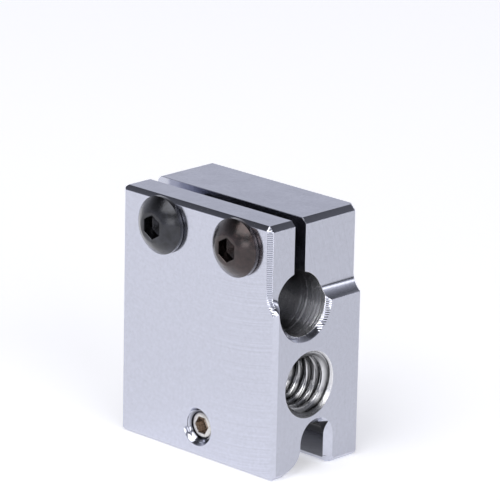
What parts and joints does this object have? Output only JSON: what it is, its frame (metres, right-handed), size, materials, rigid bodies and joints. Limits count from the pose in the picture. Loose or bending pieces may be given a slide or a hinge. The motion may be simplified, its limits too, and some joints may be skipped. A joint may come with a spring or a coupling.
{
  "type": "heater block",
  "caption": "Clamp-type aluminium heater block with through nozzle thread, split heater bore, sensor slot, button-head clamp screws and a headless sensor screw.",
  "frame": {"origin": "on the axis of the nozzle thread, half way along the block", "axes": "+X along the bores towards the stepped end, -Y out of the face that carries the screws, +Z from the slotted underside towards the clamp jaws"},
  "size_m": [0.02, 0.013, 0.024],
  "materials": {
    "machined_aluminium": "satin",
    "black_oxide_steel": "gloss",
    "bronzed_oxide_steel": "gloss",
    "stainless_steel": "satin"
  },
  "bodies": {
    "block": {"heater_block": "machined_aluminium"},
    "left_screw": {"clamp_screw_left": "black_oxide_steel"},
    "right_screw": {"clamp_screw_right": "bronzed_oxide_steel"},
    "sensor_screw": {"sensor_set_screw": "stainless_steel"}
  },
  "joints": [
    {"name": "left_screw_back_out", "type": "slide", "parent": "block", "child": "left_screw", "axis": [0, -1, 0], "range_m": [0, 0.005]},
    {"name": "right_screw_back_out", "type": "slide", "parent": "block", "child": "right_screw", "axis": [0, -1, 0], "range_m": [0, 0.005]},
    {"name": "sensor_screw_travel", "type": "slide", "parent": "block", "child": "sensor_screw", "axis": [0, -1, 0], "range_m": [-0.0005, 0.003]}
  ]
}
